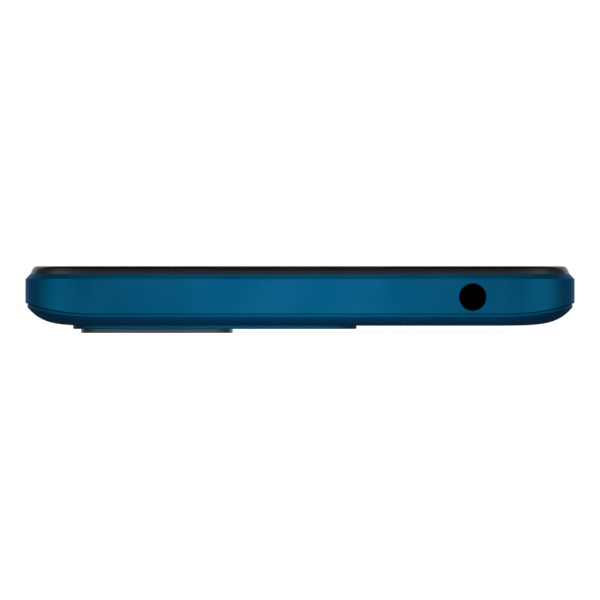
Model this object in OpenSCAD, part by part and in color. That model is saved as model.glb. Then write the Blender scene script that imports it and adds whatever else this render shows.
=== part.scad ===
// Smartphone with a 6.7 inch display, seen here as a kit of separate pieces. Millimetres.
// The origin is under the middle of the handset and +Z points out of the screen.
// The top edge, with the headphone socket, faces -Y and the charging edge faces +Y.
// The keys are on the -X side and the card tray is on the +X side.

/* [Body] */
// Width over the side walls
body_w = 76.56; // [76.4:0.02:77]
// Length from the top edge to the charging edge
body_l = 169.59; // [169.4:0.01:170]
// Corner radius in plan
corner_r = 9.8; // [9.6:0.1:10.2]
// Height of the flat part of the back over the lowest point of the camera plate
back_z = 1.0; // [0.95:0.01:1.05]
// Height of the screen face
screen_z = 9.3; // [9.26:0.01:9.4]

/* [Frame] */
// Thickness of the side walls
wall_t = 1.5; // [1.4:0.05:1.5]
// Height at which the upper chamfer of the frame starts
chamfer_z = 7.5; // [7.45:0.01:7.6]
// Height of the frame's top land
land_z = 8.22; // [8.2:0.01:8.25]
// Width of the upper chamfer
chamfer_w = 0.68; // [0.6:0.01:0.72]
// Height of the seam between frame and back cover at the middle of the short edges
seam_z = 2.65; // [2.6:0.01:2.7]
// Radius with which the seam climbs towards the long sides
seam_r = 30.3; // [30:0.1:31]
// Distance from the middle at which the seam starts to climb
seam_x = 28.78; // [28.6:0.02:28.9]

/* [Back cover] */
// Thickness of the back cover
cover_t = 0.9; // [0.85:0.05:0.95]
// Gap of the seam line
seam_gap = 0.1; // [0.05:0.01:0.12]
// Step from the frame's side in to the cover's side
cover_step = 0.28; // [0.2:0.01:0.32]
// Distance over which the curved edge runs out into the flat back
cover_sweep = 10.7; // [10:0.1:11]

/* [Camera group] */
// Width and length of the raised camera surround
surround_size = [39.6, 41];
// Centre of the camera surround
surround_at = [-11.9, -57.7];
// Corner radius of the camera surround
surround_r = 8; // [7.5:0.1:8.5]
// Height of the surround's face
surround_z = 0.553; // [0.5:0.01:0.6]
// Width and length of the dark camera plate
plate_size = [21.1, 38.8];
// Centre of the camera plate
plate_at = [-20.03, -57.7];
// Corner radius of the camera plate
plate_r = 6.9; // [6.5:0.1:7.2]
// Distance of each lens from the middle of the camera plate
lens_offset = 10.5; // [10:0.1:11]
// Outer radius of the lens rings
lens_ring_r = 5.85; // [5.6:0.05:6]
// Centre of the fingerprint sensor
finger_at = [-0.8, -57.7];
// Radius of the fingerprint sensor's ring
finger_r = 6.4; // [6:0.1:6.6]

/* [Screen] */
// Step from the frame's side in to the cover glass
glass_step = 0.86; // [0.84:0.01:0.9]
// Thickness of the cover glass
glass_t = 0.7; // [0.65:0.01:0.72]
// Width of the recess for the earpiece in the edge of the cover glass
earpiece_w = 24.1; // [23:0.1:25]
// Size of the display panel
panel_size = [71, 162.4];
// Centre of the front camera along the handset
front_camera_y = -77.2; // [-77.4:0.1:-77]

/* [Ports and keys] */
// Distance of the headphone socket from the middle
jack_x = 24; // [23.8:0.1:24.2]
// Height of the headphone socket's and the charging socket's axes
port_z = 5; // [4.95:0.01:5.05]
// Radius of the headphone socket's bore
jack_r = 1.8; // [1.76:0.01:1.84]
// Radius of the hole that the headphone socket shows through
jack_hole_r = 1.9; // [1.85:0.01:1.95]
// Height of the key axes
key_z = 5.9; // [5.85:0.01:5.95]
// Height of the key caps
key_h = 2.2; // [2.1:0.05:2.3]
// How far the key caps stand out of the side wall
key_proud = 0.35; // [0.3:0.01:0.4]
// Length of the power key
power_l = 11.2; // [11:0.1:12]
// Centre of the power key along the handset
power_y = -14; // [-15:0.5:-13]
// Length of the volume key
volume_l = 22; // [21:0.1:22.4]
// Centre of the volume key along the handset
volume_y = -38; // [-38.5:0.5:-37.5]
// Height of the card tray
tray_z = 6.1; // [6.05:0.01:6.15]
// Width of the card tray's head
tray_head_w = 20.6; // [20.4:0.1:21]

/* [Inside] */
// Level of the mid plate's lower face
plate_z = 6.85; // [6.8:0.01:6.9]
// Level of the main board's lower face
board_z = 4.7; // [4.65:0.05:4.75]
// Thickness of the main board
board_t = 0.8; // [0.7:0.05:0.8]
// Level of the brackets' lower face
bracket_z = 2.9; // [2.85:0.05:2.9]
// Width, length and thickness of the battery
battery_size = [61, 88, 4.35];

/* [Hidden] */
$fn = 64;

// Colours
frame_blue = [0.03, 0.36, 0.55];
cover_blue = [0.02, 0.28, 0.48];
surround_blue = [0.04, 0.40, 0.58];
dark_grey = [0.13, 0.13, 0.14];
black = [0.05, 0.05, 0.06];
steel = [0.72, 0.73, 0.75];
gold = [0.86, 0.68, 0.32];
board_green = [0.05, 0.30, 0.20];
amber = [0.75, 0.45, 0.12];

// Levels through the thickness
cover_in_z = back_z + cover_t;
floor_z = back_z + 0.5;
plate_floor_z = surround_z + 0.55;
glass_z = screen_z - glass_t;
ledge_z = 7.45;
ledge_w = 2.3;
backlight_z = ledge_z;
panel_z = 8.1;
bracket_t = 0.6;
bracket_top_z = bracket_z + bracket_t;
board_top_z = board_z + board_t;
sub_board_z = 4.2;
sub_board_t = 0.6;
battery_z = 2.25;
flex_z = 2.05;
foil = 0.12;

// Distances in plan
top_y = -body_l / 2;
bottom_y = body_l / 2;
side_x = body_w / 2;
wall_in_x = side_x - wall_t;
wall_in_y = bottom_y - wall_t;
main_lens_at = [plate_at[0], plate_at[1] - lens_offset];
second_lens_at = [plate_at[0], plate_at[1] + lens_offset];
lens_glass_r = 4.85;
lens_path_r = 4.6;
flash_r = 1.85;
barrel_r = 3.2;
slide_gap = 0.05;
lip_h = 0.35;
lip_in = [1.6, 2.3];
board_end_y = -38.2;
top_screw_at = [
    [-31.5, -77.5], [-9.5, -79.5], [31.5, -77.5], [-32, -58],
    [-26, -40.2], [-9.5, -40.2], [12, -40.2], [32, -42.5]
];
bottom_screw_at = [
    [-32, 64], [-14, 57], [-31.5, 77.5], [-8.5, 77], [8.7, 76], [31.5, 59.5], [31.5, 77.5]
];
boss_r = 1.6;
boss_hole_r = 0.72;
screw_r = 0.7;
screw_head_r = 1.3;
motor_at = [-26.5, 70.5];
motor_r = 4;
motor_z = [3.7, 6.5];
receiver_at = [11, -79.3];
microphone_at = [-14, 81];
rocker_x = -35.6;
grille_x = [14:2:24];
grille_r = 0.6;

// Card tray and its ejector
tray_y = -58;
tray_inner_x = 4;
tray_body_y = [-67, -50.2];
tray_body_z = [5.65, 6.6];
rod_y = -49;
rod_r = 0.4;
rod_x = [1.25, 36.4];
lever_pivot = [0.6, -53.5];
lever_w = 1.2;
lever_y = [-60, -48.4];
lever_z = [5.7, 6.5];
pivot_r = 0.5;

// ---------- shared shapes ----------

// Rectangle with round corners, centred
module rounded(w, l, r) {
    square([w - 2 * r, l], center = true);
    square([w, l - 2 * r], center = true);
    for (sx = [-1, 1], sy = [-1, 1])
        translate([sx * (w / 2 - r), sy * (l / 2 - r)]) circle(r = r);
}

// Flat slab with round corners between two levels
module slab(w, l, r, z0, z1) {
    translate([0, 0, z0]) linear_extrude(z1 - z0) rounded(w, l, r);
}

// Slab that follows the body's outline at a distance inside it
module inset_slab(d, z0, z1) {
    slab(body_w - 2 * d, body_l - 2 * d, corner_r - d, z0, z1);
}

// Box between two corners
module span(x, y, z) {
    translate([x[0], y[0], z[0]]) cube([x[1] - x[0], y[1] - y[0], z[1] - z[0]]);
}

// Round pin or hole along Z between two levels
module pin(at, r, z0, z1) {
    translate([at[0], at[1], z0]) cylinder(r = r, h = z1 - z0);
}

// Runs a profile round a rounded rectangle; the children are drawn as (distance in, height)
module edge_sweep(w, l, r) {
    for (k = [0:3]) rotate([0, 0, 90 * k]) {
        along = k % 2 == 0 ? l : w;
        across = k % 2 == 0 ? w : l;
        translate([0, along / 2 - r, 0]) rotate([90, 0, 0]) linear_extrude(along - 2 * r)
            translate([across / 2, 0]) mirror([1, 0]) children();
        translate([across / 2 - r, along / 2 - r, 0]) rotate_extrude(angle = 90)
            translate([r, 0]) mirror([1, 0]) children();
    }
}

// Everything above the seam surface, which is level in the middle and climbs to the sides
module above_seam(gap) {
    rotate([90, 0, 0]) linear_extrude(body_l + 20, center = true) {
        translate([-seam_x, seam_z - gap]) square([2 * seam_x, 2 * (seam_r + gap)]);
        for (s = [-1, 1]) translate([s * seam_x, seam_z + seam_r]) circle(r = seam_r + gap);
    }
}

// Bar with a rounded section along X, centred on a height and a place along the side
module side_bar(x, y, z, len, h, r) {
    translate([x[0], y, z]) rotate([90, 0, 90]) linear_extrude(x[1] - x[0]) rounded(len, h, r);
}

// Bar with a rounded section along Y
module end_bar(x, y, z, len, h, r) {
    translate([x, y[1], z]) rotate([90, 0, 0]) linear_extrude(y[1] - y[0]) rounded(len, h, r);
}

// Round hole along Y
module end_hole(x, y, z, r) {
    translate([x, y[1], z]) rotate([90, 0, 0]) cylinder(r = r, h = y[1] - y[0]);
}

// Strip of foil that follows points given as (y, z), as wide as x says
module foil_strip(x, points) {
    for (i = [0:len(points) - 2]) {
        a = points[i];
        b = points[i + 1];
        span(x, [min(a[0], b[0]) - foil / 2, max(a[0], b[0]) + foil / 2],
            [min(a[1], b[1]) - foil / 2, max(a[1], b[1]) + foil / 2]);
    }
}

// ---------- housing ----------

module mid_frame() color(frame_blue) difference() {
    intersection() {
        edge_sweep(body_w, body_l, corner_r) polygon([
            [0, seam_z - 0.5], [0, chamfer_z], [chamfer_w, land_z], [ledge_w, land_z],
            [ledge_w, ledge_z], [wall_t, ledge_z], [wall_t, seam_z - 0.5]
        ]);
        above_seam(0);
    }
    end_hole(jack_x, [top_y - 1, top_y + wall_t + 1], port_z, jack_hole_r);
    end_bar(0, [wall_in_y - 1, bottom_y + 1], port_z, 9.3, 3.5, 1.7);
    for (x = grille_x) end_hole(x, [wall_in_y - 1, bottom_y + 1], port_z, grille_r);
    end_hole(microphone_at[0], [wall_in_y - 1, bottom_y + 1], port_z, 0.5);
    side_bar([-side_x - 1, -wall_in_x + 1], power_y, key_z, power_l + 0.3, key_h + 0.3, 1.2);
    side_bar([-side_x - 1, -wall_in_x + 1], volume_y, key_z, volume_l + 0.3, key_h + 0.3, 1.2);
    side_bar([wall_in_x - 1, side_x + 1], tray_y, tray_z, tray_head_w + 0.16, 2.36, 1.1);
    span([-5, 5], [top_y + 1.7, top_y + 3], [ledge_z - 1, land_z + 1]);
}

module mid_plate() color(steel) difference() {
    union() {
        inset_slab(wall_t, plate_z, ledge_z);
        for (p = concat(top_screw_at, bottom_screw_at)) pin(p, boss_r, bracket_top_z, plate_z + 0.2);
    }
    for (p = concat(top_screw_at, bottom_screw_at))
        pin(p, boss_hole_r, bracket_top_z - 1, plate_z - 0.3);
    span([jack_x - 3.2, jack_x + 3.2], [top_y, top_y + 15.6], [plate_z - 1, ledge_z + 1]);
    span([-3.3, 3.3], [front_camera_y - 3.3, front_camera_y + 3.3], [plate_z - 1, ledge_z + 1]);
    span([-5, 12], [top_y, top_y + 2.6], [plate_z - 1, ledge_z + 1]);
    span([-side_x, -34.4], [volume_y - 14, power_y + 8], [plate_z - 1, ledge_z + 1]);
    span([-22.5, -10.5], [80.9, 82], [plate_z - 1, ledge_z + 1]);
}

// Height of the seam at a distance x from the middle
function seam_at(x) = seam_z + (abs(x) < seam_x ? 0 :
    seam_r - sqrt(seam_r * seam_r - pow(abs(x) - seam_x, 2)));
// Height of the cover's upright edge band, taller on the long sides
function band_at(x) = 0.25 + 0.1 * (seam_at(x) - seam_z);
// Share of the edge height that is left at a share t of the way in to the flat back
function sweep_share(t) = 0.8 * pow(1 - t, 4.5) + 0.2 * pow(1 - t, 2);
// Height of the cover's outer skin at x, a distance d in from the body's side
function skin_at(x, d) = back_z + (seam_at(x) - seam_gap - band_at(x) - back_z)
    * sweep_share(min(1, (d - cover_step) / cover_sweep));
// Points of the body's outline at a distance inside it
function outline_at(d) = let (r = corner_r - 0.75 * d) [
    for (q = [0:3], i = [0:cover_steps]) let (
        a = 90 * (q + i / cover_steps),
        sx = q == 0 || q == 3 ? 1 : -1,
        sy = q < 2 ? 1 : -1
    ) [sx * (side_x - d - r) + r * cos(a), sy * (bottom_y - d - r) + r * sin(a)]
];
cover_steps = 13;
skin_rings = 15;
skin_d = [for (k = [0:skin_rings]) cover_step + cover_sweep * pow(1 - k / skin_rings, 1.3)];
lining_d = [for (k = [0:9]) lip_in[1] + (cover_step + cover_sweep - lip_in[1]) * pow(k / 9, 1.3)];
// Rings of the back cover, from the flat back over the edge and the lip to the inside
cover_rings = concat(
    [for (d = skin_d) [for (p = outline_at(d)) [p[0], p[1], skin_at(p[0], d)]]],
    [for (d = [cover_step, lip_in[0]])
        [for (p = outline_at(d)) [p[0], p[1], seam_at(p[0]) - seam_gap]]],
    [for (d = lip_in) [for (p = outline_at(d)) [p[0], p[1], seam_at(p[0]) + lip_h]]],
    [for (d = lining_d) [for (p = outline_at(d)) [p[0], p[1], skin_at(p[0], d) + cover_t]]]
);

module cover_bowl() {
    n = 4 * (cover_steps + 1);
    last = len(cover_rings) - 1;
    polyhedron(
        points = [for (ring = cover_rings) each ring],
        faces = concat(
            [[for (i = [0:n - 1]) i]],
            [for (k = [0:last - 1], i = [0:n - 1])
                [k * n + i, (k + 1) * n + i, (k + 1) * n + (i + 1) % n, k * n + (i + 1) % n]],
            [[for (i = [n - 1:-1:0]) last * n + i]]
        )
    );
}

module back_cover() color(cover_blue) difference() {
    cover_bowl();
    translate(surround_at) slab(surround_size[0] + 0.1, surround_size[1] + 0.1,
        surround_r + 0.05, 0, floor_z);
    pin(main_lens_at, lens_path_r, 1, 3);
    pin(second_lens_at, lens_path_r, 1, 3);
    pin(plate_at, 1.4, 1, 3);
    pin(finger_at, 5.3, 1, 3);
    end_hole(jack_x, [top_y + 1.55, top_y + 4], port_z, 2.42);
}

module camera_surround() color(surround_blue) difference() {
    translate(surround_at) slab(surround_size[0], surround_size[1], surround_r, surround_z, floor_z);
    translate(plate_at) slab(plate_size[0] + 0.1, plate_size[1] + 0.1, plate_r + 0.05,
        0, plate_floor_z);
    pin(main_lens_at, lens_path_r, 0, 2);
    pin(second_lens_at, lens_path_r, 0, 2);
    pin(plate_at, 1.4, 0, 2);
    pin(finger_at, finger_r + slide_gap, 0, 2);
}

module camera_plate() color(dark_grey) difference() {
    translate(plate_at) slab(plate_size[0], plate_size[1], plate_r, 0, plate_floor_z);
    pin(main_lens_at, lens_ring_r + slide_gap, -1, 2);
    pin(second_lens_at, lens_ring_r + slide_gap, -1, 2);
    pin(plate_at, flash_r + slide_gap, -1, 2);
}

// Metal ring round a lens window, with a step inside that the window rests on
module lens_ring(at) color(steel) difference() {
    pin(at, lens_ring_r, 0, plate_floor_z);
    pin(at, lens_glass_r + slide_gap, -1, 0.7);
    pin(at, lens_path_r - 0.2, 0.5, 2);
}

module main_lens_ring() lens_ring(main_lens_at);

module second_lens_ring() lens_ring(second_lens_at);

module lens_glass(at) color(black) pin(at, lens_glass_r, 0.1, 0.7);

module main_lens_glass() lens_glass(main_lens_at);

module second_lens_glass() lens_glass(second_lens_at);

module flash_lens() color("white") union() {
    pin(plate_at, flash_r, 0.06, plate_floor_z);
    pin(plate_at, 1.35, 0.5, floor_z);
}

module fingerprint_ring() color(steel) difference() {
    pin(finger_at, finger_r, surround_z + 0.05, floor_z);
    pin(finger_at, finger_r - 0.6, 0, 2);
}

module fingerprint_sensor() color(surround_blue) union() {
    pin(finger_at, finger_r - 0.65, surround_z + 0.2, floor_z);
    pin(finger_at, 5, 1.2, 2.6);
}

// ---------- screen ----------

// Share of the glass edge that is taken away at a share u of its thickness
function glass_edge(u) = 0.37 * u + 0.29 * pow(u, 6);

module cover_glass() color(black) difference() {
    union() {
        edge_sweep(body_w - 2 * glass_step, body_l - 2 * glass_step, corner_r - glass_step)
            polygon(concat(
                [for (u = [0:0.125:1]) [glass_edge(u), glass_z + glass_t * u]],
                [[3, screen_z], [3, glass_z]]
            ));
        inset_slab(glass_step + 2, glass_z, screen_z);
    }
    span([-earpiece_w / 2, earpiece_w / 2], [top_y, top_y + 2.2], [glass_z - 1, screen_z + 1]);
}

module bezel_rim() color(black) union() {
    difference() {
        edge_sweep(body_w - 1.4, body_l - 1.4, corner_r - 0.7) polygon([
            [0, land_z], [glass_step - 0.7, glass_z], [1.9, glass_z], [1.9, land_z]
        ]);
        span([-5, 5], [top_y + 1.7, top_y + 2.2], [land_z - 1, glass_z + 1]);
    }
    translate([-earpiece_w / 2 + 0.05, 0, 0]) rotate([90, 0, 90]) linear_extrude(earpiece_w - 0.1)
        polygon([
            [top_y + glass_step, glass_z - 0.1], [top_y + glass_step + 0.27, screen_z - 0.22],
            [top_y + glass_step + 0.42, screen_z - 0.1], [top_y + 1.7, screen_z - 0.1],
            [top_y + 1.7, glass_z - 0.1]
        ]);
}

module earpiece_mesh() color(dark_grey)
    span([-11.5, 11.5], [top_y + 1.7, top_y + 2.15], [glass_z, screen_z - 0.25]);

// Shape cut from the panel layers where the front camera looks through
module camera_notch() {
    pin([0, front_camera_y], 3.4, 7, 9);
    span([-3.4, 3.4], [top_y, front_camera_y], [7, 9]);
}

module lcd_panel() color([0.1, 0.1, 0.13]) difference() {
    slab(panel_size[0], panel_size[1], 7, panel_z, glass_z);
    camera_notch();
}

module backlight() color("white") difference() {
    slab(panel_size[0] - 0.4, panel_size[1] - 0.8, 6.8, backlight_z, panel_z);
    camera_notch();
}

module display_flex() color(amber) union() {
    foil_strip([-22, -11], [[81.45, panel_z], [81.45, 6.5], [69.5, 6.5], [69.5, 5.3]]);
    span([-20, -13], [68, 71], [sub_board_z + sub_board_t, 5.5]);
}

// ---------- sound and cameras ----------

module earpiece_receiver() color(dark_grey) difference() {
    translate(receiver_at) slab(12, 6, 1, 4.3, plate_z);
    translate(receiver_at) slab(10.6, 4.6, 0.6, 5.2, plate_z + 1);
}

module front_camera() color(black) union() {
    span([-3, 3], [front_camera_y - 3, front_camera_y + 3], [4.4, 6.9]);
    pin([0, front_camera_y], 2.9, 6.7, 7.6);
    pin([0, front_camera_y], 1.7, 7.4, glass_z - 0.1);
}

module main_camera() color(dark_grey) difference() {
    translate(main_lens_at) slab(9.4, 9.4, 0.8, 2.1, 6.6);
    pin(main_lens_at, barrel_r + slide_gap, 1, 6);
}

module focus_barrel() color(black) difference() {
    pin(main_lens_at, barrel_r, 1.3, 5.7);
    pin(main_lens_at, 2.2, 1, 2);
}

module second_camera() color(black) difference() {
    union() {
        translate(second_lens_at) slab(6.5, 6.5, 0.6, 2.1, 5.6);
        pin(second_lens_at, 2.5, 1.3, 3);
    }
    pin(second_lens_at, 1.5, 1, 1.8);
}

module flash_led() color(gold) union() {
    translate(plate_at) slab(2.2, 2.2, 0.3, 1.95, 2.5);
    translate(plate_at) slab(4, 5, 0.5, 2.5, 2.7);
}

// ---------- keys ----------

// Key cap with the flange that keeps it in the wall and the studs that reach the switches
module side_key(y, len, back, studs) color(frame_blue) union() {
    side_bar([-side_x - key_proud, -wall_in_x + back + 0.1], y, key_z, len, key_h, 1);
    side_bar([-wall_in_x + back, -wall_in_x + back + 0.45], y, key_z, len + 2.4, 2.7, 1);
    for (dy = studs) side_bar([-wall_in_x + back + 0.3, -35.75], y + dy, key_z, 2, 1.4, 0.4);
}

module power_key() side_key(power_y, power_l, 0.05, [0]);

// The volume key rocks about a round rib at its middle, which bears on the switch strip
module volume_key() color(frame_blue) union() {
    side_key(volume_y, volume_l, 0.38, [-8, 8]);
    pin([rocker_x, volume_y], 0.35, key_z - 0.7, key_z + 0.7);
    span([-36.2, rocker_x], [volume_y - 0.35, volume_y + 0.35], [key_z - 0.7, key_z + 0.7]);
}

module key_flex() color(amber) union() {
    span([-35.2, -34.6], [volume_y - 13, power_y + 6], [4.9, 6.9]);
    for (y = [power_y, volume_y - 8, volume_y + 8])
        translate([-35.4, y, key_z]) rotate([0, 90, 0]) cylinder(r = 0.9, h = 0.3);
    span([-34.7, -34.4], [volume_y - 13, volume_y - 10], [3.8, 5]);
    span([-34.7, -32.4], [volume_y - 13, volume_y - 10], [3.8, 4.0]);
    span([-34, -32.4], [volume_y - 13, volume_y - 10], [3.9, board_z]);
}

// ---------- card tray ----------

// Pocket for one card, with a window through the floor that leaves a rim
module card_pocket(x, size) {
    y = (tray_body_y[0] + tray_body_y[1]) / 2;
    span([x, x + size[0]], [y - size[1] / 2, y + size[1] / 2],
        [tray_body_z[0] + 0.25, tray_body_z[1] + 1]);
    span([x + 0.8, x + size[0] - 0.8], [y - size[1] / 2 + 0.8, y + size[1] / 2 - 0.8],
        [tray_body_z[0] - 1, tray_body_z[1]]);
}

module sim_tray() color(frame_blue) difference() {
    union() {
        side_bar([wall_in_x + 0.05, side_x], tray_y, tray_z, tray_head_w, key_h, 1);
        span([tray_inner_x, wall_in_x + 0.3], tray_body_y, tray_body_z);
    }
    card_pocket(tray_inner_x + 1, [11, 15]);
    card_pocket(tray_inner_x + 13, [8.8, 12.3]);
    card_pocket(tray_inner_x + 22.8, [8.8, 12.3]);
    translate([wall_in_x - 1, rod_y, tray_z]) rotate([0, 90, 0]) cylinder(r = 0.5, h = 4);
}

module tray_gasket() color("red") difference() {
    side_bar([36.2, 36.8], (tray_body_y[0] + tray_body_y[1]) / 2, tray_z, 17.5, 1.4, 0.5);
    span([36, 37], tray_body_y, tray_body_z);
}

module card_connector() color(steel) union() {
    difference() {
        span([-2.2, 35.8], [-68.2, -47.9], [board_top_z, plate_z - 0.05]);
        span([3.9, 37], [tray_body_y[0] - 0.05, tray_body_y[1] + 0.05], [5.6, 6.65]);
        span([-1.9, 4], [-60.6, -48.1], [5.6, 6.65]);
        span([3.9, 37], [rod_y - 0.45, rod_y + 0.45], [5.6, 6.65]);
    }
    pin(lever_pivot, pivot_r, 5.55, 6.7);
}

module eject_rod() color(steel) translate([rod_x[0], rod_y, tray_z]) rotate([0, 90, 0])
    cylinder(r = rod_r, h = rod_x[1] - rod_x[0]);

module eject_lever() color(steel) difference() {
    union() {
        span([lever_pivot[0] - lever_w / 2, lever_pivot[0] + lever_w / 2], lever_y, lever_z);
        pin(lever_pivot, 1.1, lever_z[0], lever_z[1]);
    }
    pin(lever_pivot, pivot_r + slide_gap, 5, 7);
}

// ---------- boards ----------

module main_board() color(board_green) difference() {
    intersection() {
        inset_slab(4, board_z, board_top_z);
        span([-40, 40], [top_y, board_end_y], [board_z - 1, board_top_z + 1]);
    }
    for (p = top_screw_at) pin(p, boss_r + 0.2, board_z - 1, board_top_z + 1);
    span([jack_x - 3.4, jack_x + 3.4], [top_y, top_y + 15.8], [board_z - 1, board_top_z + 1]);
    span([-3.4, 3.4], [top_y, front_camera_y + 3.4], [board_z - 1, board_top_z + 1]);
    span([receiver_at[0] - 6.4, receiver_at[0] + 6.4], [top_y, receiver_at[1] + 3.4],
        [board_z - 1, board_top_z + 1]);
    translate(main_lens_at) slab(10.2, 10.2, 0.8, board_z - 1, board_top_z + 1);
    translate(second_lens_at) slab(7.3, 7.3, 0.6, board_z - 1, board_top_z + 1);
}

// Folded metal can that is open towards the board
module shield_can(x, y, z, open_z) color(steel) difference() {
    span(x, y, z);
    span([x[0] + 0.2, x[1] - 0.2], [y[0] + 0.2, y[1] - 0.2],
        open_z > z[1] ? [z[0] + 0.2, open_z] : [open_z, z[1] - 0.2]);
}

module front_shield() shield_can([-12.8, -3], [-72, -46], [board_top_z, 6.7], 5);

module rear_shield() shield_can([-8, 29], [-67, -45], [bracket_top_z + 0.1, board_z], 5);

module processor_chip() color(black) translate([4, -56]) slab(13, 13, 0.4, 3.9, board_z);

module storage_chip() color(black) translate([19.5, -56]) slab(11.5, 13, 0.4, 4, board_z);

module top_bracket() color(dark_grey) difference() {
    intersection() {
        inset_slab(4, bracket_z, bracket_top_z);
        span([-40, 40], [top_y, board_end_y - 0.3], [bracket_z - 1, bracket_top_z + 1]);
    }
    for (p = top_screw_at) pin(p, 0.8, bracket_z - 1, bracket_top_z + 1);
    span([jack_x - 3.4, jack_x + 3.4], [top_y, top_y + 15.8], [bracket_z - 1, bracket_top_z + 1]);
    translate(main_lens_at) slab(10.2, 10.2, 0.8, bracket_z - 1, bracket_top_z + 1);
    translate(second_lens_at) slab(7.3, 7.3, 0.6, bracket_z - 1, bracket_top_z + 1);
}

// Small pan head screw with a cross slot
module screw(at) color(steel) difference() {
    union() {
        pin(at, screw_head_r, bracket_z - 0.55, bracket_z);
        pin(at, screw_r, bracket_z - 0.2, bracket_z + 3.1);
    }
    for (a = [0, 90]) translate(at) rotate([0, 0, a])
        span([-0.75, 0.75], [-0.14, 0.14], [bracket_z - 1, bracket_z - 0.25]);
}

module top_screws() for (p = top_screw_at) screw(p);

module sub_board() color(board_green) difference() {
    intersection() {
        inset_slab(4, sub_board_z, sub_board_z + sub_board_t);
        span([-40, 10.6], [54.5, bottom_y], [sub_board_z - 1, sub_board_z + 2]);
    }
    for (p = bottom_screw_at) pin(p, boss_r + 0.2, sub_board_z - 1, sub_board_z + 2);
    pin(motor_at, motor_r + 0.3, sub_board_z - 1, sub_board_z + 2);
    span([-4.9, 4.9], [77.2, bottom_y], [sub_board_z - 1, sub_board_z + 2]);
}

module bottom_bracket() color(dark_grey) difference() {
    intersection() {
        inset_slab(4, bracket_z, bracket_top_z);
        span([-40, 10.6], [54.5, bottom_y], [bracket_z - 1, bracket_top_z + 1]);
    }
    for (p = bottom_screw_at) pin(p, 0.8, bracket_z - 1, bracket_top_z + 1);
    span([-4.9, 4.9], [77.2, bottom_y], [bracket_z - 1, bracket_top_z + 1]);
}

module bottom_screws() for (p = bottom_screw_at) screw(p);

// ---------- battery and cables ----------

module battery() color([0.85, 0.85, 0.83]) translate([0, 8, 0])
    slab(battery_size[0], battery_size[1], 2, battery_z, battery_z + battery_size[2]);

module battery_adhesive() color("white") for (s = [-1, 1])
    span([s * 17 - 7, s * 17 + 7], [-30, 46], [battery_z + battery_size[2], plate_z]);

module battery_flex() color(amber) union() {
    span([16, 30], [-37.9, -36.1], [4.4, 6]);
    span([20, 26], [-44, -37.5], [4.05, 4.2]);
    span([20, 26], [-37.8, -37.5], [4.05, 4.6]);
    span([20.5, 25.5], [-44, -41], [4.1, board_z]);
}

module main_flex() color(amber) union() {
    foil_strip([-6, 8], [[-43, 3.75], [-37.2, 3.75], [-37.2, flex_z], [53.4, flex_z],
        [53.4, 3.75], [64, 3.75]]);
    span([-5, 7], [-43, -40.5], [3.75, board_z]);
    span([-5, 7], [61.5, 64], [3.75, sub_board_z]);
}

module graphite_sheet() color(dark_grey) span([-26, 26], [-30, 50], [cover_in_z, cover_in_z + 0.08]);

module antenna_cable() color(black) union() {
    translate([-31.3, -42, 3.85]) rotate([-90, 0, 0]) cylinder(r = 0.3, h = 99.5);
    pin([-31.3, -42], 0.95, 3.6, board_z);
    pin([-31.3, 57.5], 0.95, 3.6, sub_board_z);
}

// ---------- bottom edge ----------

module speaker_box() color(dark_grey) difference() {
    intersection() {
        inset_slab(3, bracket_z, plate_z);
        span([11.5, 34], [57, 82.2], [bracket_z, 6.7]);
    }
    for (p = [bottom_screw_at[5], bottom_screw_at[6]]) {
        pin(p, boss_r + 0.2, bracket_top_z - 0.1, 8);
        pin(p, 0.8, 2, 8);
    }
    span([12.5, 26], [70, 84], [4, 6]);
    translate([19, 66]) slab(10, 6, 1, 4, 6);
}

module speaker_mesh() color(dark_grey) span([12.6, 25.6], [82.9, 83.2], [3.9, 6.1]);

module motor_case() color(steel) union() {
    difference() {
        pin(motor_at, motor_r, motor_z[0], motor_z[1]);
        pin(motor_at, motor_r - 0.25, motor_z[0] + 0.25, motor_z[1] - 0.25);
    }
    pin(motor_at, 0.3, motor_z[0] + 0.1, motor_z[1] - 0.1);
    pin(motor_at, 2.5, motor_z[1] - 0.1, plate_z);
}

module motor_rotor() color(gold) difference() {
    pin(motor_at, motor_r - 0.6, motor_z[0] + 0.5, motor_z[1] - 0.5);
    pin(motor_at, 0.35, 3, 7);
    translate(motor_at) span([-5, 5], [0.9, 5], [3, 7]);
}

module headphone_jack() color(black) difference() {
    union() {
        span([jack_x - 3.1, jack_x + 3.1], [top_y + 2.4, top_y + 15.5], [2.6, 7.4]);
        end_hole(jack_x, [top_y + wall_t + 0.05, top_y + 3], port_z, 2.3);
    }
    end_hole(jack_x, [top_y, top_y + 15], port_z, jack_r);
}

module jack_contacts() color(gold) for (i = [0:3]) {
    s = i % 2 == 0 ? -1 : 1;
    y = top_y + 5 + 3 * i;
    span([jack_x + s * 3.25 - 0.15, jack_x + s * 3.25 + 0.15], [y - 0.5, y + 0.5], [3.4, 6.4]);
}

module usb_shell() color(steel) difference() {
    end_bar(0, [77.6, bottom_y - 0.2], port_z, 8.94, 3.16, 1.5);
    end_bar(0, [78.5, bottom_y], port_z, 8.34, 2.56, 1.2);
}

module usb_tongue() color(black) union() {
    end_bar(0, [78.5, 83.6], port_z, 6.7, 0.7, 0.2);
    end_bar(0, [78.5, 79.6], port_z, 7.6, 1.8, 0.3);
}

module bottom_microphone() color(steel) difference() {
    translate(microphone_at) slab(3.4, 2.6, 0.3, sub_board_z + sub_board_t, 6);
    end_hole(microphone_at[0], [81.5, 83], port_z + 0.2, 0.3);
}

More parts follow.
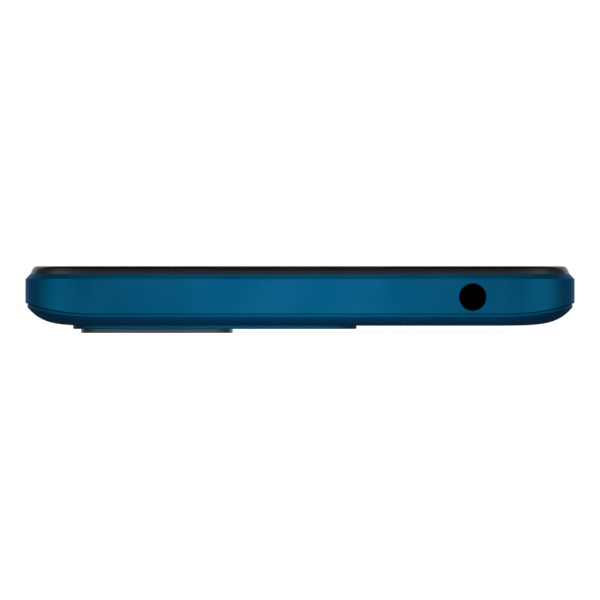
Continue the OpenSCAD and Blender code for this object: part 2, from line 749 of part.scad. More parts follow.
mid_frame();
mid_plate();
back_cover();
camera_surround();
camera_plate();
main_lens_ring();
main_lens_glass();
second_lens_ring();
second_lens_glass();
flash_lens();
fingerprint_ring();
fingerprint_sensor();
cover_glass();
bezel_rim();
lcd_panel();
backlight();
display_flex();
earpiece_mesh();
earpiece_receiver();
front_camera();
main_camera();
focus_barrel();
second_camera();
flash_led();
power_key();
volume_key();
key_flex();
sim_tray();
tray_gasket();
card_connector();
eject_rod();
eject_lever();
main_board();
front_shield();
rear_shield();
processor_chip();
storage_chip();
top_bracket();
top_screws();
battery();
battery_adhesive();
battery_flex();
main_flex();
graphite_sheet();
sub_board();
bottom_bracket();
bottom_screws();
speaker_box();
speaker_mesh();
motor_case();
motor_rotor();
headphone_jack();
jack_contacts();
usb_shell();
usb_tongue();
bottom_microphone();
antenna_cable();
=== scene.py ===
"""Looks of the smartphone. Lengths are in millimetres here and in metres in the scene.

The screen faces +Z, the edge with the headphone socket faces -Y, the keys are on the
-X side and the card tray is on the +X side. Visible shells are lofted from outlines with
rounded edges, and the pieces inside keep their CAD shape with their own materials.
"""
import math

import bmesh
import bpy
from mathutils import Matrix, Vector


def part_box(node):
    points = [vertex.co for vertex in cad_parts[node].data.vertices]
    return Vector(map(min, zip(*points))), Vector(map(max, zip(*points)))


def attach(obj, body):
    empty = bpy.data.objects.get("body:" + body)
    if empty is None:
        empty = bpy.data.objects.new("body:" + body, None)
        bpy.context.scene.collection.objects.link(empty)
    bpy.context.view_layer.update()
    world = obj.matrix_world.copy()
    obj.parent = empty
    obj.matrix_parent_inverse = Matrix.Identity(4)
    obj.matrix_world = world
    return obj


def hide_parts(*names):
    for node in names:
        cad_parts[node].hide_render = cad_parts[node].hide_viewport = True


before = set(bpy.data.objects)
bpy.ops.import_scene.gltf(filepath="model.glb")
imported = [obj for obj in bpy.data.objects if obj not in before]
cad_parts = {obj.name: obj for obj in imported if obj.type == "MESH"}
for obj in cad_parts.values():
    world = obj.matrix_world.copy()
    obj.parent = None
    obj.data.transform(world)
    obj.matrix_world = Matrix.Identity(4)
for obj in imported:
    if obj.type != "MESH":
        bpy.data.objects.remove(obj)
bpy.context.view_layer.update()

MM = 0.001


def corners(node):
    """Lowest and highest corner of a CAD node, in millimetres."""
    low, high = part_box(node)
    return low / MM, high / MM


def middle(node):
    """Centre of a CAD node's box, in millimetres."""
    low, high = corners(node)
    return (low + high) / 2


# ---------- driving sizes, from the frame or in millimetres ----------

FRAME_LOW, FRAME_HIGH = corners("mid_frame")
GLASS_LOW, GLASS_HIGH = corners("cover_glass")
SIDE_X = FRAME_HIGH.x
END_Y = FRAME_HIGH.y
LAND_Z = FRAME_HIGH.z
SEAM_Z = FRAME_LOW.z
BACK_Z = corners("back_cover")[0].z
SCREEN_Z = GLASS_HIGH.z
GLASS_Z = GLASS_LOW.z

# Frame band
CORNER_R = 9.8
CHAMFER_Z = 7.5
CHAMFER_W = 0.68
WALL_T = 1.5
LEDGE_W = 2.3
LEDGE_Z = 7.45

# Seam between frame and cover, which curves up towards the long sides, and the cover
SEAM_R = 30.3
SEAM_X = 28.78
SEAM_GAP = 0.1
SEAM_LINE = 0.05
COVER_STEP = 0.28
COVER_SWEEP = 10.7
COVER_T = 0.9
SKIN_RINGS = 44
LINING_RINGS = 9
RING_CROWDING = 1.3
LIP_H = 0.35
LIP_IN = (1.6, 2.3)
COVER_FLOOR_Z = 1.5

# Glass, earpiece recess and display
GLASS_STEP = SIDE_X - GLASS_HIGH.x
EARPIECE_W = 24.1
WINDOW_R = 1.75
DISPLAY_R = 6.0
DISPLAY_BORDER = (1.42, 3.1)
DISPLAY_SHIFT = -1.8
NOTCH_R = 3.0
NOTCH_FLARE_W = 4.2
NOTCH_FLARE_SLOPE = 0.9

# Camera group and fingerprint sensor; each hole is (node, radius)
SURROUND_R = 8.0
SURROUND_EDGE = 0.15
PLATE_R = 6.9
PLATE_EDGE = 0.08
FINGER_R = 6.4
MASK_R = (2.7, 4.4)
HOLES_IN_SURROUND = (("main_lens_ring", 4.6), ("second_lens_ring", 4.6), ("flash_lens", 1.4))
HOLES_IN_COVER = (*HOLES_IN_SURROUND, ("fingerprint_ring", 5.3))

# Sockets and sound openings
JACK_D = 3.8
JACK_SLEEVE_D = 4.84
USB_MOUTH = (9.3, 3.5)
GRILLE_X = range(14, 25, 2)
GRILLE_D = 1.2
MICROPHONE_D = 1.0
USB_WALL = 0.3
CONTACT_COUNT = 12
CONTACT_PITCH = 0.5
CONTACT_W = 0.28

# Keys
KEY_Z = 5.9
KEY_H = 2.2
KEY_GAP = 0.15
FLANGE_EXTRA = 2.4
FLANGE_H = 2.7
FLANGE_T = 0.45
STUD_X = -35.75

# Card tray; each pocket is (start from the tray's inner end, size along X, size along Y)
HEAD_W = 20.6
HEAD_H = 2.2
HEAD_GAP = 0.08
CARRIER_Y = (-67.0, -50.2)
CARRIER_Z = (5.65, 6.6)
POCKETS = ((1.0, 11.0, 15.0), (13.0, 8.8, 12.3), (22.8, 8.8, 12.3))

# Points along each quarter circle of an outline, and round a turned piece
CORNER_STEPS = 26
ROUND_STEPS = 96


# ---------- outlines, profiles and meshes ----------

def outline(half_x, half_y, radius, at=(0.0, 0.0), steps=CORNER_STEPS):
    """Points round a rectangle with round corners, anticlockwise."""
    points = []
    for corner in range(4):
        side = 1 if corner in (0, 3) else -1
        end = 1 if corner < 2 else -1
        for i in range(steps + 1):
            a = math.radians(90 * (corner + i / steps))
            points.append((at[0] + side * (half_x - radius) + radius * math.cos(a),
                           at[1] + end * (half_y - radius) + radius * math.sin(a)))
    return points


def round_profile(points, steps=4):
    """Profile with round corners; each point is (across, height, corner radius)."""
    out = []
    for i, (across, height, radius) in enumerate(points):
        here = Vector((across, height))
        if radius == 0:
            out.append(here)
            continue
        back = (Vector(points[i - 1][:2]) - here).normalized()
        ahead = (Vector(points[(i + 1) % len(points)][:2]) - here).normalized()
        half = back.angle(ahead) / 2
        centre = here + (back + ahead).normalized() * (radius / math.sin(half))
        start = here + back * (radius / math.tan(half)) - centre
        stop = here + ahead * (radius / math.tan(half)) - centre
        out += [centre + start.slerp(stop, k / steps).normalized() * radius
                for k in range(steps + 1)]
    return out


def mesh_object(name, points, faces):
    """Object from points in millimetres, with its faces turned outwards."""
    mesh = bpy.data.meshes.new(name)
    mesh.from_pydata([Vector(p) * MM for p in points], [], faces)
    form = bmesh.new()
    form.from_mesh(mesh)
    bmesh.ops.remove_doubles(form, verts=form.verts, dist=1e-7)
    bmesh.ops.recalc_face_normals(form, faces=form.faces)
    form.to_mesh(mesh)
    form.free()
    obj = bpy.data.objects.new(name, mesh)
    bpy.context.scene.collection.objects.link(obj)
    return obj


def loft(name, rings, closed):
    """Skin over rings of points; an open stack of rings gets a cap at each end."""
    count = len(rings[0])
    faces = []
    for k in range(len(rings) if closed else len(rings) - 1):
        a, b = k * count, (k + 1) % len(rings) * count
        for i in range(count):
            j = (i + 1) % count
            faces.append((a + i, a + j, b + j, b + i))
    if not closed:
        faces.append(tuple(range(count)))
        faces.append(tuple(range((len(rings) - 1) * count, len(rings) * count)))
    return mesh_object(name, [p for ring in rings for p in ring], faces)


def plate(name, size, radius, profile, at=(0.0, 0.0), closed=False, steps=CORNER_STEPS):
    """Rounded rectangle whose edge follows a profile of (distance in, height)."""
    rings = [[(x, y, z) for x, y in outline(size[0] / 2 - d, size[1] / 2 - d,
                                            max(radius - d, 0.01), at, steps)]
             for d, z in profile]
    return loft(name, rings, closed)


def lathe(name, at, profile, closed=True, steps=ROUND_STEPS):
    """Solid of revolution about an upright axis from a profile of (radius, height)."""
    rings = []
    for r, z in profile:
        rings.append([(at[0] + r * math.cos(2 * math.pi * i / steps),
                       at[1] + r * math.sin(2 * math.pi * i / steps), z)
                      for i in range(steps)])
    return loft(name, rings, closed)


def bar(name, direction, span, across, height, size, radius, edge=0.0, flare=0.0):
    """Rounded bar along X or Y. Its far end can have a round edge or a flared mouth."""
    start, stop = span
    way = 1 if stop > start else -1
    if edge:
        stations = [(start, 0.0)] + [
            (stop - way * edge * (1 - math.sin(math.radians(15 * k))),
             edge * (1 - math.cos(math.radians(15 * k)))) for k in range(7)]
    elif flare:
        stations = [(start, 0.0), (stop - way * (1 + flare), 0.0), (stop - way, -flare),
                    (stop, -flare)]
    else:
        stations = [(start, 0.0), (stop, 0.0)]
    rings = []
    for place, inset in stations:
        ring = outline(size[0] / 2 - inset, size[1] / 2 - inset,
                       max(radius - inset, 0.01), (across, height), 10)
        if direction == "x":
            rings.append([(place, u, v) for u, v in ring])
        else:
            rings.append([(u, place, v) for u, v in ring])
    return loft(name, rings, False)


def block(name, low, high):
    """Plain box, used only to cut with."""
    return plate(name, (high[0] - low[0], high[1] - low[1]), 0.02, [(0, low[2]), (0, high[2])],
                 ((low[0] + high[0]) / 2, (low[1] + high[1]) / 2), steps=1)


def combine(obj, others, operation):
    """Cuts other objects out of obj or adds them to it, and removes them."""
    for other in others:
        modifier = obj.modifiers.new("shape", "BOOLEAN")
        modifier.operation = operation
        modifier.solver = "EXACT"
        modifier.object = other
    graph = bpy.context.evaluated_depsgraph_get()
    mesh = bpy.data.meshes.new_from_object(obj.evaluated_get(graph))
    obj.modifiers.clear()
    obj.data = mesh
    for other in others:
        bpy.data.objects.remove(other)
    return obj


def cut(obj, *tools):
    """Cuts tools out of obj."""
    return combine(obj, tools, "DIFFERENCE")


def add(obj, *others):
    """Joins others to obj as one skin."""
    return combine(obj, others, "UNION")


def finish_piece(obj, material, body, slot, *nodes, sharp=32.0):
    """Shades a piece, gives it its material and body, and hides what it replaces. The slot is not
    used.
    """
    obj.data.shade_smooth()
    obj.data.set_sharp_from_angle(angle=math.radians(sharp))
    weighted = obj.modifiers.new("even normals", "WEIGHTED_NORMAL")
    weighted.keep_sharp = True
    obj.data.materials.clear()
    obj.data.materials.append(material)
    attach(obj, body)
    if nodes:
        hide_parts(*nodes)
    return obj


# ---------- materials ----------

class Graph:
    """Short names for building one material's nodes."""

    def __init__(self, name):
        self.material = bpy.data.materials.new(name)
        self.material.use_nodes = True
        self.tree = self.material.node_tree
        self.shader = self.tree.nodes["Principled BSDF"]
        self.place = self.node("ShaderNodeTexCoord").outputs["Object"]

    def node(self, kind, **settings):
        made = self.tree.nodes.new(kind)
        for key, value in settings.items():
            setattr(made, key, value)
        return made

    def link(self, source, target):
        self.tree.links.new(source, target)

    def math(self, operation, first, second=None):
        made = self.node("ShaderNodeMath", operation=operation)
        for socket, value in zip(made.inputs, (first, second)):
            if value is None:
                continue
            if hasattr(value, "is_output"):
                self.link(value, socket)
            else:
                socket.default_value = value
        return made.outputs[0]

    def noise(self, size, detail=3.0):
        """Noise whose features are about size millimetres across."""
        made = self.node("ShaderNodeTexNoise")
        made.inputs["Scale"].default_value = 1 / (size * MM)
        made.inputs["Detail"].default_value = detail
        self.link(self.place, made.inputs["Vector"])
        return made.outputs["Fac"]

    def across(self, direction):
        """Distance along a direction, in metres."""
        made = self.node("ShaderNodeVectorMath", operation="DOT_PRODUCT")
        made.inputs[1].default_value = direction
        self.link(self.place, made.inputs[0])
        return made.outputs["Value"]

    def radius(self, at):
        """Distance in plan from a point given in millimetres, in metres."""
        squares = [self.math("POWER", self.math("SUBTRACT", self.across(direction), place * MM),
                             2.0)
                   for direction, place in (((1, 0, 0), at[0]), ((0, 1, 0), at[1]))]
        return self.math("SQRT", self.math("ADD", *squares))

    def wave(self, distance, pitch):
        """Sine wave from -1 to 1 over a distance socket, with its pitch in millimetres."""
        return self.math("SINE", self.math("MULTIPLY", distance, 2 * math.pi / (pitch * MM)))

    def spread(self, value, low, high, start=0.0, stop=1.0):
        """Maps a value from start..stop to low..high."""
        made = self.node("ShaderNodeMapRange")
        for key, number in (("From Min", start), ("From Max", stop), ("To Min", low),
                            ("To Max", high)):
            made.inputs[key].default_value = number
        self.link(value, made.inputs["Value"])
        return made.outputs["Result"]

    def blend(self, factor, first, second):
        """Mixes two colours, each a tuple or a socket."""
        made = self.node("ShaderNodeMix", data_type="RGBA")
        for index, value in ((6, first), (7, second)):
            if hasattr(value, "is_output"):
                self.link(value, made.inputs[index])
            else:
                made.inputs[index].default_value = (*value, 1.0)
        if hasattr(factor, "is_output"):
            self.link(factor, made.inputs[0])
        else:
            made.inputs[0].default_value = factor
        return made.outputs[2]

    def bump(self, height, depth, under=None):
        """Bump of a 0..1 height, depth millimetres deep."""
        made = self.node("ShaderNodeBump")
        made.inputs["Strength"].default_value = 1.0
        made.inputs["Distance"].default_value = depth * MM
        self.link(height, made.inputs["Height"])
        if under:
            self.link(under, made.inputs["Normal"])
        return made.outputs["Normal"]

    def set(self, **values):
        for key, value in values.items():
            socket = self.shader.inputs[key.replace("_", " ")]
            if hasattr(value, "is_output"):
                self.link(value, socket)
            else:
                socket.default_value = value


def speckled(name, dark, light, rough, blotch=6.0, grain=0.12, depth=0.002, **fixed):
    """Moulded, cast or printed surface: soft colour drift with a fine grain."""
    g = Graph(name)
    grains = g.noise(grain, 2.0)
    g.set(Base_Color=g.blend(g.spread(g.noise(blotch), 0.0, 1.0, 0.35, 0.65), dark, light),
          Roughness=g.spread(grains, rough[0], rough[1], 0.3, 0.7),
          Normal=g.bump(grains, depth), **fixed)
    return g.material


def brushed(name, dark, light, rough, direction, pitch=0.12, **fixed):
    """Metal with fine lines along a direction."""
    g = Graph(name)
    stretched = g.node("ShaderNodeMapping")
    stretched.inputs["Scale"].default_value = tuple(0.03 if d else 1.0 for d in direction)
    g.link(g.place, stretched.inputs["Vector"])
    lines = g.node("ShaderNodeTexNoise")
    lines.inputs["Scale"].default_value = 1 / (pitch * MM)
    g.link(stretched.outputs["Vector"], lines.inputs["Vector"])
    fac = lines.outputs["Fac"]
    g.set(Base_Color=g.blend(fac, dark, light), Roughness=g.spread(fac, *rough, 0.3, 0.7),
          Normal=g.bump(fac, 0.001), Metallic=1.0, **fixed)
    return g.material


def turned(name, node, dark, light, rough, pitch):
    """Metal with fine turned grooves round a node's upright axis."""
    g = Graph(name)
    radius = g.radius(middle(node))
    lines = g.spread(g.wave(radius, pitch), 0.0, 1.0, -1.0, 1.0)
    fine = g.noise(0.1)
    g.set(Base_Color=g.blend(g.spread(fine, 0, 1, 0.35, 0.65), dark, light),
          Roughness=g.spread(fine, *rough, 0.3, 0.7), Normal=g.bump(lines, 0.004), Metallic=1.0)
    return g.material


def ribbed_cover():
    """Blue resin with fine ribs that run diagonally over the outside of the back; the colour goes
    dark and light across each rib, a painted shade and painted light on the rib faces.
    """
    g = Graph("blue resin with painted rib shading")
    turn = math.radians(RIB_ANGLE)
    across = g.across((math.sin(turn), -math.cos(turn), 0.0))
    drift = g.math("MULTIPLY", g.noise(14.0, 1.0), 0.02 * MM)
    ribs = g.spread(g.wave(g.math("ADD", across, drift), RIB_PITCH), 0.0, 1.0, -1.0, 1.0)
    fine = g.noise(0.1, 2.0)
    shape = g.node("ShaderNodeNewGeometry")
    facing = g.node("ShaderNodeSeparateXYZ")
    g.link(shape.outputs["Normal"], facing.inputs[0])
    swept = g.spread(facing.outputs["Z"], 1.0, 0.0, -0.4, -0.1)
    # painted shade and painted light: the rib colour darkens and lightens with the same wave as
    # the rib bump
    shade = g.blend(swept, COVER_LIP, g.blend(ribs, COVER_DRIFT_AND_RIB_SHADE, COVER_RIB_LIT))
    drifted = g.blend(g.spread(g.noise(9.0), 0.0, 0.05, 0.4, 0.6), shade, COVER_DRIFT_AND_RIB_SHADE)
    g.set(Base_Color=drifted, Roughness=g.spread(fine, 0.3, 0.42, 0.3, 0.7),
          Normal=g.bump(fine, 0.002, g.bump(g.math("MULTIPLY", ribs, swept), RIB_DEPTH)),
          Metallic=0.3, Specular_IOR_Level=0.05, Specular_Tint=SWEEP_TINT)
    return g.material


def screen_glass():
    """Black glass whose display area is a shade lighter than its printed border."""
    g = Graph("screen glass")
    low, high = corners("lcd_panel")
    half = ((high.x - low.x) / 2 - DISPLAY_BORDER[0], (high.y - low.y) / 2 - DISPLAY_BORDER[1])
    across = g.math("ABSOLUTE", g.across((1, 0, 0)))
    along = g.math("ABSOLUTE", g.math("SUBTRACT", g.across((0, 1, 0)), DISPLAY_SHIFT * MM))
    reach = []
    for distance, size in ((across, half[0]), (along, half[1])):
        over = g.math("SUBTRACT", distance, (size - DISPLAY_R) * MM)
        reach.append(g.math("POWER", g.math("MAXIMUM", over, 0.0), 2.0))
    out = g.math("SQRT", g.math("ADD", *reach))
    shown = g.spread(out, 1, 0, (DISPLAY_R - 0.1) * MM, DISPLAY_R * MM)
    camera = middle("front_camera")
    notch = g.spread(g.radius((camera.x, camera.y)), 0, 1, NOTCH_R * MM,
                     (NOTCH_R + 0.1) * MM)
    slope = g.math("MULTIPLY", g.across((0, 1, 0)), NOTCH_FLARE_SLOPE)
    edge = NOTCH_FLARE_W + NOTCH_FLARE_SLOPE * camera.y
    flare = g.spread(g.math("ADD", across, slope), 0, 1, edge * MM, (edge + 0.1) * MM)
    inside = g.math("MULTIPLY", g.math("MULTIPLY", shown, notch), flare)
    smear = g.noise(24.0, 4.0)
    g.set(Base_Color=g.blend(inside, (0.0022, 0.0022, 0.0026), (0.0065, 0.007, 0.0095)),
          Roughness=g.spread(smear, 0.04, 0.09, 0.3, 0.7), IOR=1.5)
    return g.material


def clear_glass(name, tint, rough):
    """Clear window with a faint coating and hairline polish marks."""
    g = Graph(name)
    marks = g.noise(0.6, 4.0)
    g.set(Base_Color=g.blend(marks, tint, tuple(0.9 * c for c in tint)),
          Roughness=g.spread(marks, *rough, 0.3, 0.7), Transmission_Weight=1.0, IOR=1.45)
    return g.material


def coated_lens(name, node, inner, outer):
    """Dark lens element whose coating changes colour from the middle outwards."""
    g = Graph(name)
    radius = g.radius(middle(node))
    tone = g.spread(radius, 0.0, 1.0, 0.0, 1.6 * MM)
    g.set(Base_Color=g.blend(tone, inner, outer), Roughness=g.spread(g.noise(0.3), 0.03, 0.06),
          Metallic=0.7)
    return g.material


def woven(name, dark, light, pitch):
    """Fine metal cloth: wires crossing over and under."""
    g = Graph(name)
    waves = [g.wave(g.across(direction), pitch)
             for direction in ((1.0, 0.0, 0.0), (0.0, 0.7, 0.7))]
    weave = g.spread(g.math("MULTIPLY", *waves), 0.0, 1.0, -1.0, 1.0)
    g.set(Base_Color=g.blend(weave, dark, light), Roughness=g.spread(weave, 0.55, 0.35),
          Normal=g.bump(weave, 0.05), Metallic=0.8)
    return g.material


def circuit_board(name):
    """Green solder resist with faint tracks, drilled pads and small gold lands."""
    g = Graph(name)
    bent = g.math("MULTIPLY", g.noise(5.0, 0.0), 3.0 * MM)
    tracks = []
    for direction in ((1.0, 0.0, 0.0), (0.0, 1.0, 0.0)):
        run = g.wave(g.math("ADD", g.across(direction), bent), 0.55)
        tracks.append(g.spread(run, 0.0, 1.0, 0.3, 0.6))
    field = g.spread(g.noise(4.0, 0.0), 0.0, 1.0, 0.49, 0.51)
    traced = g.node("ShaderNodeMix", data_type="FLOAT")
    g.link(field, traced.inputs[0])
    g.link(tracks[0], traced.inputs[2])
    g.link(tracks[1], traced.inputs[3])
    cells = g.node("ShaderNodeTexVoronoi")
    cells.inputs["Scale"].default_value = 1 / (1.3 * MM)
    g.link(g.place, cells.inputs["Vector"])
    pads = g.spread(cells.outputs["Distance"], 1.0, 0.0, 0.13, 0.17)
    resist = g.blend(traced.outputs[0], (0.004, 0.05, 0.022), (0.008, 0.09, 0.04))
    g.set(Base_Color=g.blend(pads, resist, (0.6, 0.42, 0.12)),
          Roughness=g.spread(traced.outputs[0], 0.42, 0.3), Metallic=g.spread(pads, 0.0, 0.9),
          Normal=g.bump(g.math("MAXIMUM", traced.outputs[0], pads), 0.01))
    return g.material


def flex_foil(name, direction):
    """Amber flexible circuit with copper tracks along its length."""
    g = Graph(name)
    tracks = g.spread(g.wave(g.across(direction), 0.6), 0.0, 1.0, 0.1, 0.35)
    cloud = g.noise(3.0)
    film = g.blend(cloud, (0.28, 0.1, 0.012), (0.4, 0.16, 0.02))
    g.set(Base_Color=g.blend(tracks, film, (0.52, 0.24, 0.06)),
          Roughness=g.spread(tracks, 0.24, 0.36), Normal=g.bump(tracks, 0.01),
          Metallic=g.spread(tracks, 0.0, 0.4))
    return g.material


def pouch_foil(name):
    """Aluminium pouch with soft dents and hairlines."""
    g = Graph(name)
    dents = g.noise(5.0, 2.0)
    hair = g.noise(0.25, 3.0)
    g.set(Base_Color=g.blend(dents, (0.5, 0.5, 0.49), (0.68, 0.68, 0.66)),
          Roughness=g.spread(hair, 0.32, 0.5, 0.3, 0.7), Metallic=0.85,
          Normal=g.bump(hair, 0.004, g.bump(dents, 0.12)))
    return g.material


FRAME_DARK, FRAME_LIGHT = (0.001, 0.075, 0.165), (0.003, 0.083, 0.18)
# Back cover: the dark and light rib colours are painted shade and painted light on the ribs; the
# dark one also drifts in at random
COVER_DRIFT_AND_RIB_SHADE, COVER_RIB_LIT = (0.0, 0.032, 0.09), (0.0, 0.11, 0.28)
COVER_LIP = (0.001, 0.056, 0.12)
EDGE_TINT = (0.0, 0.5, 0.9, 1.0)
SWEEP_TINT = (0.0, 0.22, 0.48, 1.0)
RIB_ANGLE = 46.0
RIB_PITCH = 0.7
RIB_DEPTH = 0.045

BLUE = speckled("satin blue resin", FRAME_DARK, FRAME_LIGHT, (0.28, 0.36), Metallic=0.6,
                Specular_IOR_Level=0.05, Specular_Tint=EDGE_TINT)
RIBBED = ribbed_cover()
SURROUND = speckled("surround blue resin", (0.001, 0.07, 0.158), (0.003, 0.077, 0.172),
                    (0.3, 0.38), Metallic=0.6, Specular_IOR_Level=0.05,
                    Specular_Tint=EDGE_TINT)
PLATE_DARK = speckled("plate black", (0.036, 0.036, 0.037), (0.043, 0.043, 0.044),
                      (0.1, 0.16), blotch=3.0, grain=0.3, depth=0.0005)
BLACK = speckled("satin black resin", (0.006, 0.006, 0.007), (0.012, 0.012, 0.013),
                 (0.32, 0.44))
MATT_BLACK = speckled("matt black resin", (0.004, 0.004, 0.0045), (0.007, 0.007, 0.0075),
                      (0.6, 0.75), grain=0.2, depth=0.006)
DEEP_BLACK = speckled("socket black resin", (0.001, 0.001, 0.0011), (0.002, 0.002, 0.0021),
                      (0.6, 0.7), Specular_IOR_Level=0.15)
GLOSS_BLACK = speckled("gloss black resin", (0.001, 0.001, 0.0011), (0.002, 0.002, 0.0022),
                       (0.06, 0.1), depth=0.0004)
GLASS_BLACK = screen_glass()
MAIN_RING = turned("main ring metal", "main_lens_ring", (0.16, 0.17, 0.18), (0.24, 0.25, 0.27),
                   (0.18, 0.28), 0.09)
SECOND_RING = turned("second ring metal", "second_lens_ring", (0.16, 0.17, 0.18),
                     (0.24, 0.25, 0.27), (0.18, 0.28), 0.09)
FINGER_RING = turned("sensor ring metal", "fingerprint_ring", (0.02, 0.2, 0.34),
                     (0.03, 0.27, 0.45), (0.16, 0.26), 0.1)
SENSOR_BLUE = speckled("sensor face", (0.0, 0.075, 0.17), (0.0, 0.095, 0.2), (0.26, 0.34),
                       blotch=3.0, grain=0.09, depth=0.003, Metallic=0.4)
CLEAR = clear_glass("lens window glass", (0.95, 0.97, 1.0), (0.0, 0.03))
MAIN_COAT = coated_lens("main lens coating", "main_lens_ring", (0.012, 0.05, 0.16),
                        (0.09, 0.02, 0.12))
SECOND_COAT = coated_lens("second lens coating", "second_lens_ring", (0.01, 0.1, 0.09),
                          (0.02, 0.03, 0.13))
FRONT_COAT = coated_lens("front lens coating", "front_camera", (0.02, 0.03, 0.14),
                         (0.05, 0.01, 0.08))
FLASH_WHITE = speckled("flash diffuser", (0.75, 0.68, 0.42), (0.88, 0.82, 0.6), (0.16, 0.3),
                       blotch=1.2, grain=0.2, depth=0.01, Transmission_Weight=0.25)
MESH_METAL = woven("woven mesh", (0.008, 0.008, 0.009), (0.1, 0.1, 0.105), 0.16)
STEEL_X = brushed("stamped steel across", (0.42, 0.43, 0.45), (0.6, 0.61, 0.63), (0.24, 0.4),
                  (1, 0, 0))
STEEL_Y = brushed("stamped steel along", (0.42, 0.43, 0.45), (0.62, 0.63, 0.65), (0.2, 0.36),
                  (0, 1, 0))
ALLOY = brushed("pressed alloy sheet", (0.5, 0.51, 0.53), (0.66, 0.67, 0.69), (0.3, 0.46),
                (0, 1, 0), pitch=0.3)
GOLD = brushed("plated contacts", (0.55, 0.36, 0.1), (0.8, 0.56, 0.2), (0.16, 0.3), (0, 1, 0))
BOARD = circuit_board("board laminate")
FLEX_ALONG = flex_foil("flex with tracks along", (1.0, 0.0, 0.0))
FLEX_KEYS = flex_foil("key flex foil", (0.0, 0.0, 1.0))
POUCH = pouch_foil("battery pouch")
CHIP = speckled("chip moulding", (0.01, 0.01, 0.011), (0.022, 0.022, 0.024), (0.45, 0.6),
                blotch=2.0, grain=0.06, depth=0.004)
FILM = speckled("white film", (0.6, 0.6, 0.58), (0.75, 0.75, 0.73), (0.3, 0.5), grain=0.6,
                depth=0.01)
GRAPHITE = speckled("graphite sheet", (0.03, 0.03, 0.032), (0.06, 0.06, 0.064), (0.35, 0.55),
                    grain=0.25, depth=0.01, Metallic=0.4)
RUBBER = speckled("red silicone", (0.3, 0.012, 0.01), (0.4, 0.02, 0.015), (0.5, 0.65),
                  depth=0.004)
PANEL = speckled("display cell", (0.004, 0.004, 0.006), (0.008, 0.008, 0.011), (0.08, 0.14),
                 grain=0.5)


# ---------- housing ----------

def seam_at(x):
    """Height of the seam between frame and cover at a distance from the middle."""
    over = max(0.0, abs(x) - SEAM_X)
    return SEAM_Z + SEAM_R - math.sqrt(SEAM_R * SEAM_R - over * over)


def make_frame():
    """Frame band with its chamfers, ledge and openings."""
    cham = 0.08
    profile = round_profile([
        (0, CHAMFER_Z, 0.12), (CHAMFER_W, LAND_Z, 0.06), (LEDGE_W, LAND_Z, 0),
        (LEDGE_W, LEDGE_Z, 0), (WALL_T, LEDGE_Z, 0), (WALL_T, SEAM_Z, 0),
        (cham, SEAM_Z, 0.04), (0, SEAM_Z + cham, 0.04)])
    rings = []
    for d, z in profile:
        ring = outline(SIDE_X - d, END_Y - d, CORNER_R - d)
        rings.append([(x, y, z + seam_at(x) - SEAM_Z if z < LEDGE_Z - 2 else z)
                      for x, y in ring])
    return loft("frame_band", rings, True)


def frame_tools():
    """Shapes of every opening in the frame band."""
    jack, usb = middle("headphone_jack"), middle("usb_shell")
    top, bottom = (-END_Y + WALL_T + 1, -END_Y - 1), (END_Y - WALL_T - 1, END_Y + 1)
    left, right = (-SIDE_X + WALL_T + 1, -SIDE_X - 1), (SIDE_X - WALL_T - 1, SIDE_X + 1)
    tools = [bar("jack", "y", top, jack.x, jack.z, (JACK_D, JACK_D), 1.88, flare=0.1),
             bar("usb", "y", bottom, usb.x, usb.z, USB_MOUTH, 1.7, flare=0.14)]
    for x in GRILLE_X:
        tools.append(bar("grille", "y", bottom, x, usb.z, (GRILLE_D, GRILLE_D), 0.58,
                         flare=0.08))
    microphone = middle("bottom_microphone")
    tools.append(bar("mic", "y", bottom, microphone.x, usb.z, (MICROPHONE_D, MICROPHONE_D), 0.48,
                     flare=0.06))
    for node in ("power_key", "volume_key"):
        key, length = middle(node), key_length(node)
        tools.append(bar("slot", "x", left, key.y, KEY_Z,
                         (length + 2 * KEY_GAP, KEY_H + 2 * KEY_GAP), 1.2, flare=0.06))
    tray = middle("sim_tray")
    tools.append(bar("slot", "x", right, tray.y, tray.z,
                     (HEAD_W + 2 * HEAD_GAP, HEAD_H + 2 * HEAD_GAP), 1.1, flare=0.03))
    tools.append(block("vent", (-5, -END_Y + 1.7, LEDGE_Z - 1), (5, -END_Y + 3, LAND_Z + 1)))
    return tools


def key_length(node):
    """Length of a key's cap, which is shorter than its flange."""
    low, high = corners(node)
    return high.y - low.y - FLANGE_EXTRA


def edge_band(x):
    """Height of the cover's upright edge, which is taller on the long sides."""
    return 0.25 + 0.1 * (seam_at(x) - SEAM_Z)


def skin_at(x, d):
    """Height of the cover's outer skin at x, a distance d in from the frame's side."""
    t = min(1.0, max(0.0, (d - COVER_STEP) / COVER_SWEEP))
    share = 0.8 * (1 - t) ** 4.5 + 0.2 * (1 - t) ** 2
    return BACK_Z + (seam_at(x) - SEAM_GAP - edge_band(x) - BACK_Z) * share


